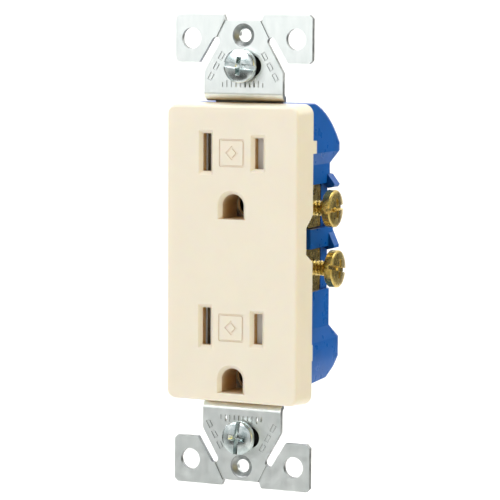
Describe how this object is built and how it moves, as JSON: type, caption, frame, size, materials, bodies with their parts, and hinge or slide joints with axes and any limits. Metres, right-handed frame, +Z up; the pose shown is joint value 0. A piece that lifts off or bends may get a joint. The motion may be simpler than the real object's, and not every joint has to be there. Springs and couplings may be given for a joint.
{
  "type": "duplex wall outlet",
  "caption": "Decorator-style duplex wall outlet with a flat rectangular face, shuttered slots, side screw terminals and a steel mounting strap with break-off ears.",
  "frame": {"origin": "on the strap's front plane, midway between the four ear holes, the two box screws and the two wall-plate holes", "axes": "+X to the right seen from the room (hot side), +Y back into the wall box, +Z up"},
  "size_m": [0.039, 0.0306, 0.106],
  "materials": {
    "cover_plastic": "smooth moulded, satin",
    "body_plastic": "moulded, semi-gloss",
    "zinc_plate": "zinc-plated, stamped",
    "zinc_screw": "zinc-plated, bright",
    "brass": "bright",
    "nickel_plated_brass": "nickel-plated",
    "bronze": "rolled strip",
    "green_screw": "green dyed zinc",
    "carrier_plastic": "moulded",
    "shutter_plastic": "moulded",
    "spring_steel": "bright wire and strip",
    "retainer_plastic": "pressed fibre"
  },
  "bodies": {
    "outlet_frame": {"face_cover": "cover_plastic", "ground_contact_strip": "bronze", "ground_strip_rivets": "brass", "hot_contact_strip": "brass", "lower_hot_shutter_spring": "spring_steel", "lower_hot_wire_clamp": "spring_steel", "lower_neutral_shutter_spring": "spring_steel", "lower_neutral_wire_clamp": "spring_steel", "lower_screw_retainer": "retainer_plastic", "lower_shutter_carrier": "carrier_plastic", "mounting_strap": "zinc_plate", "neutral_contact_strip": "nickel_plated_brass", "rear_body": "body_plastic", "upper_hot_shutter_spring": "spring_steel", "upper_hot_wire_clamp": "spring_steel", "upper_neutral_shutter_spring": "spring_steel", "upper_neutral_wire_clamp": "spring_steel", "upper_screw_retainer": "retainer_plastic", "upper_shutter_carrier": "carrier_plastic"},
    "upper_hot_shutter": {"upper_hot_shutter": "shutter_plastic"},
    "upper_neutral_shutter": {"upper_neutral_shutter": "shutter_plastic"},
    "lower_hot_shutter": {"lower_hot_shutter": "shutter_plastic"},
    "lower_neutral_shutter": {"lower_neutral_shutter": "shutter_plastic"},
    "upper_hot_terminal_screw": {"upper_hot_terminal_screw": "brass"},
    "upper_neutral_terminal_screw": {"upper_neutral_terminal_screw": "nickel_plated_brass"},
    "lower_hot_terminal_screw": {"lower_hot_terminal_screw": "brass"},
    "lower_neutral_terminal_screw": {"lower_neutral_terminal_screw": "nickel_plated_brass"},
    "ground_screw": {"ground_screw": "green_screw"},
    "upper_mounting_screw": {"upper_mounting_screw": "zinc_screw"},
    "lower_mounting_screw": {"lower_mounting_screw": "zinc_screw"}
  },
  "joints": [
    {"name": "upper_hot_shutter_slide", "type": "slide", "parent": "outlet_frame", "child": "upper_hot_shutter", "axis": [-1, 0, 0], "range_m": [0, 0.0026], "stiffness_N_per_m": 50, "springref_m": -0.001, "deforming": ["upper_hot_shutter_spring"]},
    {"name": "upper_neutral_shutter_slide", "type": "slide", "parent": "outlet_frame", "child": "upper_neutral_shutter", "axis": [1, 0, 0], "range_m": [0, 0.0026], "stiffness_N_per_m": 50, "springref_m": -0.001, "deforming": ["upper_neutral_shutter_spring"]},
    {"name": "lower_hot_shutter_slide", "type": "slide", "parent": "outlet_frame", "child": "lower_hot_shutter", "axis": [-1, 0, 0], "range_m": [0, 0.0026], "stiffness_N_per_m": 50, "springref_m": -0.001, "deforming": ["lower_hot_shutter_spring"]},
    {"name": "lower_neutral_shutter_slide", "type": "slide", "parent": "outlet_frame", "child": "lower_neutral_shutter", "axis": [1, 0, 0], "range_m": [0, 0.0026], "stiffness_N_per_m": 50, "springref_m": -0.001, "deforming": ["lower_neutral_shutter_spring"]},
    {"name": "upper_hot_terminal_screw_travel", "type": "slide", "parent": "outlet_frame", "child": "upper_hot_terminal_screw", "axis": [1, 0, 0], "range_m": [-0.0036, 0.0006]},
    {"name": "upper_neutral_terminal_screw_travel", "type": "slide", "parent": "outlet_frame", "child": "upper_neutral_terminal_screw", "axis": [-1, 0, 0], "range_m": [-0.0036, 0.0006]},
    {"name": "lower_hot_terminal_screw_travel", "type": "slide", "parent": "outlet_frame", "child": "lower_hot_terminal_screw", "axis": [1, 0, 0], "range_m": [-0.0043, 0.0003]},
    {"name": "lower_neutral_terminal_screw_travel", "type": "slide", "parent": "outlet_frame", "child": "lower_neutral_terminal_screw", "axis": [-1, 0, 0], "range_m": [-0.0043, 0.0003]},
    {"name": "ground_screw_travel", "type": "slide", "parent": "outlet_frame", "child": "ground_screw", "axis": [-1, 0, 0], "range_m": [-0.0025, 0.0006]},
    {"name": "upper_mounting_screw_travel", "type": "slide", "parent": "outlet_frame", "child": "upper_mounting_screw", "axis": [0, -1, 0], "range_m": [-0.00085, 0.011]},
    {"name": "lower_mounting_screw_travel", "type": "slide", "parent": "outlet_frame", "child": "lower_mounting_screw", "axis": [0, -1, 0], "range_m": [-0.00085, 0.011]}
  ]
}
